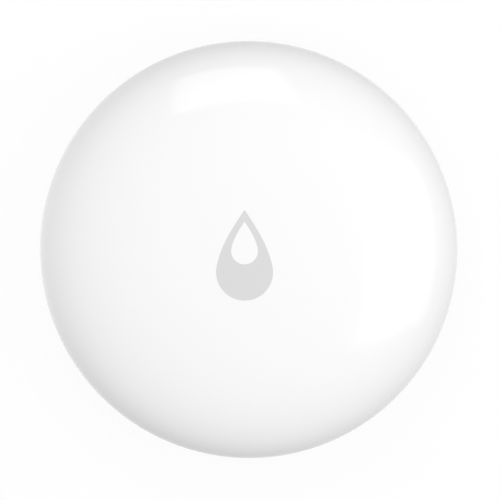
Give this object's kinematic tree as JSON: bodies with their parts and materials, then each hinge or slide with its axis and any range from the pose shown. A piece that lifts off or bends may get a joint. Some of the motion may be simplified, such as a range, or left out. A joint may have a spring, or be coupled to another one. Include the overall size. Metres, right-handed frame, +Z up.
{
  "type": "water leak sensor",
  "caption": "Round battery leak sensor with a domed press-through crown, floor probes and a coin-turned ramped battery cover.",
  "frame": {"origin": "floor under the middle of the body, at the lowest face of the feet", "axes": "+Z up through the crown; +Y towards the tip of the drop sign; the two probes lie on the X axis"},
  "size_m": [0.05, 0.05, 0.015],
  "materials": {
    "shell_plastic": "white, fine satin",
    "base_plastic": "white, fine matte grain",
    "silicone": "soft matte grey",
    "cell_metal": "bright satin",
    "dark_plastic": "black, matte",
    "contact_steel": "plated sheet",
    "board_laminate": "green solder mask",
    "copper": "copper under clear mask",
    "tan_ceramic": "fired ceramic",
    "lamp_plastic": "clear epoxy over phosphor",
    "stem_plastic": "natural, matte",
    "clear_plastic": "clear, polished",
    "stainless": "polished stainless",
    "brass": "turned brass"
  },
  "bodies": {
    "housing": {"top_shell": "shell_plastic", "base_shell": "base_plastic", "housing_seal": "silicone", "battery_holder": "dark_plastic", "negative_contact": "contact_steel", "positive_contact": "contact_steel", "circuit_board": "board_laminate", "board_screws": "contact_steel", "radio_chip": "dark_plastic", "crystal": "contact_steel", "antenna_track": "copper", "capacitors": "tan_ceramic", "resistors": "dark_plastic", "indicator_led": "lamp_plastic", "switch_body": "dark_plastic", "switch_plate": "contact_steel", "switch_dome": "contact_steel", "probe_screw_right": "stainless", "probe_screw_left": "stainless", "probe_seals": "silicone", "probe_inserts": "brass"},
    "button": {"light_guide": "clear_plastic"},
    "plunger": {"switch_stem": "stem_plastic"},
    "cover_carrier": {"cover_seal": "silicone"},
    "cover": {"battery_cover": "base_plastic"},
    "coin_cell": {"battery_can": "cell_metal", "battery_cap": "cell_metal", "battery_grommet": "dark_plastic"}
  },
  "joints": [
    {"name": "button_press", "type": "slide", "parent": "housing", "child": "button", "axis": [0, 0, -1], "range_m": [0, 0.00025], "stiffness_N_per_m": 6400, "deforming": ["switch_dome"]},
    {"name": "stem_press", "type": "slide", "parent": "housing", "child": "plunger", "axis": [0, 0, -1], "range_m": [0, 0.00025]},
    {"name": "cover_lower", "type": "slide", "parent": "housing", "child": "cover_carrier", "axis": [0, 0, -1], "range_m": [0, 0.00278]},
    {"name": "cover_turn", "type": "hinge", "parent": "cover_carrier", "child": "cover", "pos_m": [0, 0, 0.0021], "axis": [0, 0, -1], "range_deg": [0, 100]},
    {"name": "cell_lower", "type": "slide", "parent": "housing", "child": "coin_cell", "axis": [0, 0, -1], "range_m": [0, 0.00278]}
  ],
  "couplings": [
    {"joint": "stem_press", "follows": "button_press", "ratio": 1},
    {"joint": "cover_lower", "follows": "cover_turn", "m_per_rad": 0.0015915},
    {"joint": "cell_lower", "follows": "cover_turn", "m_per_rad": 0.0015915}
  ]
}
